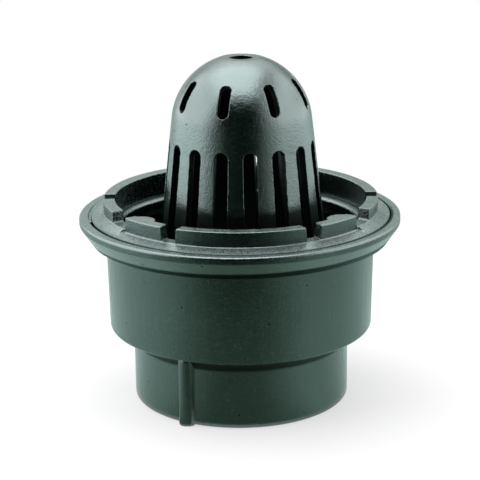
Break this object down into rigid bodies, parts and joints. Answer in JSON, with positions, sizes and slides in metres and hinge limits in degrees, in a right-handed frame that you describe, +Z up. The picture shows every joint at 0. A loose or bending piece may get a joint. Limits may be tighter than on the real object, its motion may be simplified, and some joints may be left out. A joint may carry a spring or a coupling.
{
  "type": "flat roof drain",
  "caption": "Cast-iron flat roof drain: flanged sump body with an outlet hub, a castellated gravel-stop clamp ring and a tall slotted bullet-shaped dome strainer, painted green-black.",
  "frame": {"origin": "centre of the outlet socket's mouth, on the flat end face of the hub that the drain stands on", "axes": "+Z up through the throat and the dome, -Z out of the outlet socket, -Y the front between the two front bosses of the clamp ring, +X to the right"},
  "size_m": [0.216, 0.216, 0.2324],
  "materials": {
    "body_iron": "semi-gloss green-black enamel over sand-cast iron",
    "ring_iron": "semi-gloss green-black enamel over sand-cast iron",
    "dome_iron": "semi-gloss green-black enamel over sand-cast iron"
  },
  "bodies": {
    "root": {"drain_body": "body_iron", "clamp_ring": "ring_iron", "dome_strainer": "dome_iron"}
  },
  "joints": []
}
